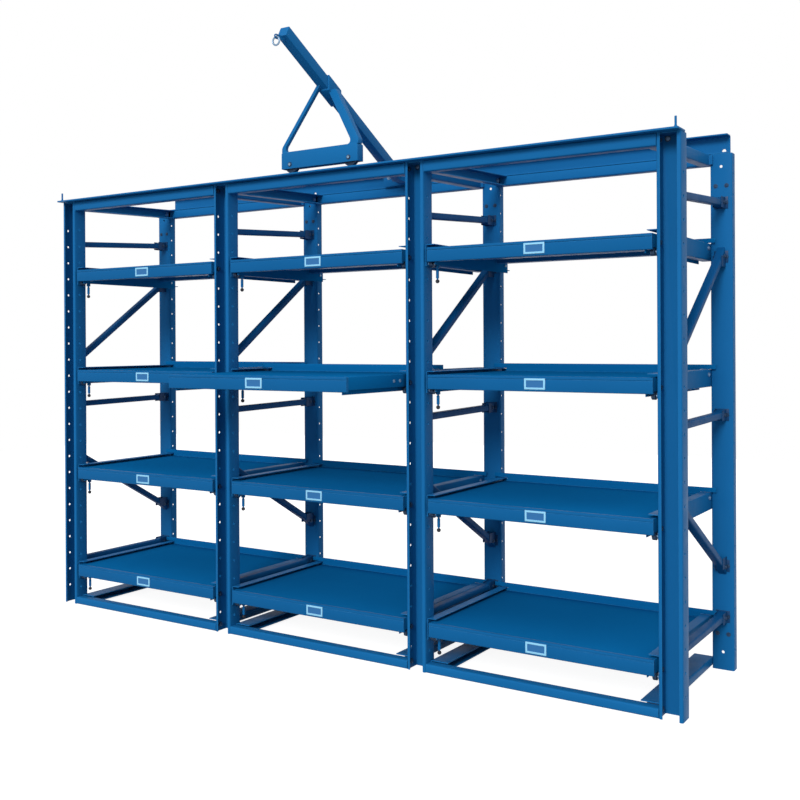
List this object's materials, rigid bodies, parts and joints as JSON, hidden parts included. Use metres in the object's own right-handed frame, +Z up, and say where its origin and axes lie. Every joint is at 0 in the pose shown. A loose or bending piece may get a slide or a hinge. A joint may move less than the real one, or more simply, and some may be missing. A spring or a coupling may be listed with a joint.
{
  "type": "mold storage rack",
  "caption": "Steel drawer rack for molds: bays of pull-out roller trays between open side frames, with a travelling boom crane running along a front and a rear track on top.",
  "frame": {"origin": "middle of the front base beam's underside, where it stands on the floor", "axes": "+X along the rack's length to the right seen from the front, -Y out of the front where the drawers open, +Z up"},
  "size_m": [3.088, 1.075, 2.5071],
  "materials": {
    "blue_paint": "satin powder coat",
    "roller_steel": "dark oiled steel",
    "pale_metal": "plated"
  },
  "bodies": {
    "rack": {"front_post_1": "blue_paint", "rear_frame_1": "blue_paint", "front_post_2": "blue_paint", "rear_frame_2": "blue_paint", "front_post_3": "blue_paint", "rear_frame_3": "blue_paint", "front_post_4": "blue_paint", "rear_frame_4": "blue_paint", "base_beam_1": "blue_paint", "top_beam_1": "blue_paint", "rear_tie_1": "blue_paint", "base_beam_2": "blue_paint", "top_beam_2": "blue_paint", "rear_tie_2": "blue_paint", "base_beam_3": "blue_paint", "top_beam_3": "blue_paint", "rear_tie_3": "blue_paint", "front_track": "blue_paint", "rear_track": "blue_paint"},
    "drawer_1_1": {"tray_1_1": "blue_paint"},
    "latch_pull_1_1": {"latch_1_1": "pale_metal"},
    "drawer_2_1": {"tray_2_1": "blue_paint"},
    "latch_pull_2_1": {"latch_2_1": "pale_metal"},
    "drawer_3_1": {"tray_3_1": "blue_paint"},
    "latch_pull_3_1": {"latch_3_1": "pale_metal"},
    "drawer_1_2": {"tray_1_2": "blue_paint"},
    "latch_pull_1_2": {"latch_1_2": "pale_metal"},
    "drawer_2_2": {"tray_2_2": "blue_paint"},
    "latch_pull_2_2": {"latch_2_2": "pale_metal"},
    "drawer_3_2": {"tray_3_2": "blue_paint"},
    "latch_pull_3_2": {"latch_3_2": "pale_metal"},
    "drawer_1_3": {"tray_1_3": "blue_paint"},
    "latch_pull_1_3": {"latch_1_3": "pale_metal"},
    "drawer_2_3": {"tray_2_3": "blue_paint"},
    "latch_pull_2_3": {"latch_2_3": "pale_metal"},
    "drawer_3_3": {"tray_3_3": "blue_paint"},
    "latch_pull_3_3": {"latch_3_3": "pale_metal"},
    "drawer_1_4": {"tray_1_4": "blue_paint"},
    "latch_pull_1_4": {"latch_1_4": "pale_metal"},
    "drawer_2_4": {"tray_2_4": "blue_paint"},
    "latch_pull_2_4": {"latch_2_4": "pale_metal"},
    "drawer_3_4": {"tray_3_4": "blue_paint"},
    "latch_pull_3_4": {"latch_3_4": "pale_metal"},
    "crane": {"crane_bogie": "blue_paint", "crane_frame": "blue_paint", "crane_carriage": "blue_paint"},
    "front_wheel_1_body": {"front_wheel_1": "roller_steel"},
    "front_wheel_2_body": {"front_wheel_2": "roller_steel"},
    "rear_wheel_1_body": {"rear_wheel_1": "roller_steel"},
    "rear_wheel_2_body": {"rear_wheel_2": "roller_steel"},
    "hook": {"hook_ring": "pale_metal"}
  },
  "joints": [
    {"name": "slide_1_1", "type": "slide", "parent": "rack", "child": "drawer_1_1", "axis": [0, -1, 0], "range_m": [0, 0.45]},
    {"name": "pull_1_1", "type": "slide", "parent": "rack", "child": "latch_pull_1_1", "axis": [0, 0, -1], "range_m": [0, 0.008], "stiffness_N_per_m": 300, "springref_m": -0.01},
    {"name": "slide_2_1", "type": "slide", "parent": "rack", "child": "drawer_2_1", "axis": [0, -1, 0], "range_m": [0, 0.45]},
    {"name": "pull_2_1", "type": "slide", "parent": "rack", "child": "latch_pull_2_1", "axis": [0, 0, -1], "range_m": [0, 0.008], "stiffness_N_per_m": 300, "springref_m": -0.01},
    {"name": "slide_3_1", "type": "slide", "parent": "rack", "child": "drawer_3_1", "axis": [0, -1, 0], "range_m": [0, 0.45]},
    {"name": "pull_3_1", "type": "slide", "parent": "rack", "child": "latch_pull_3_1", "axis": [0, 0, -1], "range_m": [0, 0.008], "stiffness_N_per_m": 300, "springref_m": -0.01},
    {"name": "slide_1_2", "type": "slide", "parent": "rack", "child": "drawer_1_2", "axis": [0, -1, 0], "range_m": [0, 0.45]},
    {"name": "pull_1_2", "type": "slide", "parent": "rack", "child": "latch_pull_1_2", "axis": [0, 0, -1], "range_m": [0, 0.008], "stiffness_N_per_m": 300, "springref_m": -0.01},
    {"name": "slide_2_2", "type": "slide", "parent": "rack", "child": "drawer_2_2", "axis": [0, -1, 0], "range_m": [-0.377, 0.073]},
    {"name": "pull_2_2", "type": "slide", "parent": "rack", "child": "latch_pull_2_2", "axis": [0, 0, -1], "range_m": [0, 0.008], "stiffness_N_per_m": 300, "springref_m": -0.01},
    {"name": "slide_3_2", "type": "slide", "parent": "rack", "child": "drawer_3_2", "axis": [0, -1, 0], "range_m": [0, 0.45]},
    {"name": "pull_3_2", "type": "slide", "parent": "rack", "child": "latch_pull_3_2", "axis": [0, 0, -1], "range_m": [0, 0.008], "stiffness_N_per_m": 300, "springref_m": -0.01},
    {"name": "slide_1_3", "type": "slide", "parent": "rack", "child": "drawer_1_3", "axis": [0, -1, 0], "range_m": [0, 0.45]},
    {"name": "pull_1_3", "type": "slide", "parent": "rack", "child": "latch_pull_1_3", "axis": [0, 0, -1], "range_m": [0, 0.008], "stiffness_N_per_m": 300, "springref_m": -0.01},
    {"name": "slide_2_3", "type": "slide", "parent": "rack", "child": "drawer_2_3", "axis": [0, -1, 0], "range_m": [0, 0.45]},
    {"name": "pull_2_3", "type": "slide", "parent": "rack", "child": "latch_pull_2_3", "axis": [0, 0, -1], "range_m": [0, 0.008], "stiffness_N_per_m": 300, "springref_m": -0.01},
    {"name": "slide_3_3", "type": "slide", "parent": "rack", "child": "drawer_3_3", "axis": [0, -1, 0], "range_m": [0, 0.45]},
    {"name": "pull_3_3", "type": "slide", "parent": "rack", "child": "latch_pull_3_3", "axis": [0, 0, -1], "range_m": [0, 0.008], "stiffness_N_per_m": 300, "springref_m": -0.01},
    {"name": "slide_1_4", "type": "slide", "parent": "rack", "child": "drawer_1_4", "axis": [0, -1, 0], "range_m": [0, 0.45]},
    {"name": "pull_1_4", "type": "slide", "parent": "rack", "child": "latch_pull_1_4", "axis": [0, 0, -1], "range_m": [0, 0.008], "stiffness_N_per_m": 300, "springref_m": -0.01},
    {"name": "slide_2_4", "type": "slide", "parent": "rack", "child": "drawer_2_4", "axis": [0, -1, 0], "range_m": [0, 0.45]},
    {"name": "pull_2_4", "type": "slide", "parent": "rack", "child": "latch_pull_2_4", "axis": [0, 0, -1], "range_m": [0, 0.008], "stiffness_N_per_m": 300, "springref_m": -0.01},
    {"name": "slide_3_4", "type": "slide", "parent": "rack", "child": "drawer_3_4", "axis": [0, -1, 0], "range_m": [0, 0.45]},
    {"name": "pull_3_4", "type": "slide", "parent": "rack", "child": "latch_pull_3_4", "axis": [0, 0, -1], "range_m": [0, 0.008], "stiffness_N_per_m": 300, "springref_m": -0.01},
    {"name": "crane_travel", "type": "slide", "parent": "rack", "child": "crane", "axis": [1, 0, 0], "range_m": [-1.396, 1.264]},
    {"name": "front_wheel_1_roll", "type": "hinge", "parent": "crane", "child": "front_wheel_1_body", "pos_m": [-0.083, -0.034, 2.0176], "axis": [0, 1, 0], "continuous": true},
    {"name": "front_wheel_2_roll", "type": "hinge", "parent": "crane", "child": "front_wheel_2_body", "pos_m": [0.215, -0.034, 2.0176], "axis": [0, 1, 0], "continuous": true},
    {"name": "rear_wheel_1_roll", "type": "hinge", "parent": "crane", "child": "rear_wheel_1_body", "pos_m": [-0.019, 0.642, 2.045], "axis": [0, 1, 0], "continuous": true},
    {"name": "rear_wheel_2_roll", "type": "hinge", "parent": "crane", "child": "rear_wheel_2_body", "pos_m": [0.151, 0.642, 2.045], "axis": [0, 1, 0], "continuous": true},
    {"name": "hook_swing", "type": "hinge", "parent": "crane", "child": "hook", "pos_m": [0.066, -0.3216, 2.4562], "axis": [1, 0, 0], "range_deg": [-60, 60]}
  ],
  "couplings": [
    {"joint": "front_wheel_1_roll", "follows": "crane_travel", "rad_per_m": 29.412},
    {"joint": "front_wheel_2_roll", "follows": "crane_travel", "rad_per_m": 29.412},
    {"joint": "rear_wheel_1_roll", "follows": "crane_travel", "rad_per_m": -38.462},
    {"joint": "rear_wheel_2_roll", "follows": "crane_travel", "rad_per_m": -38.462}
  ]
}
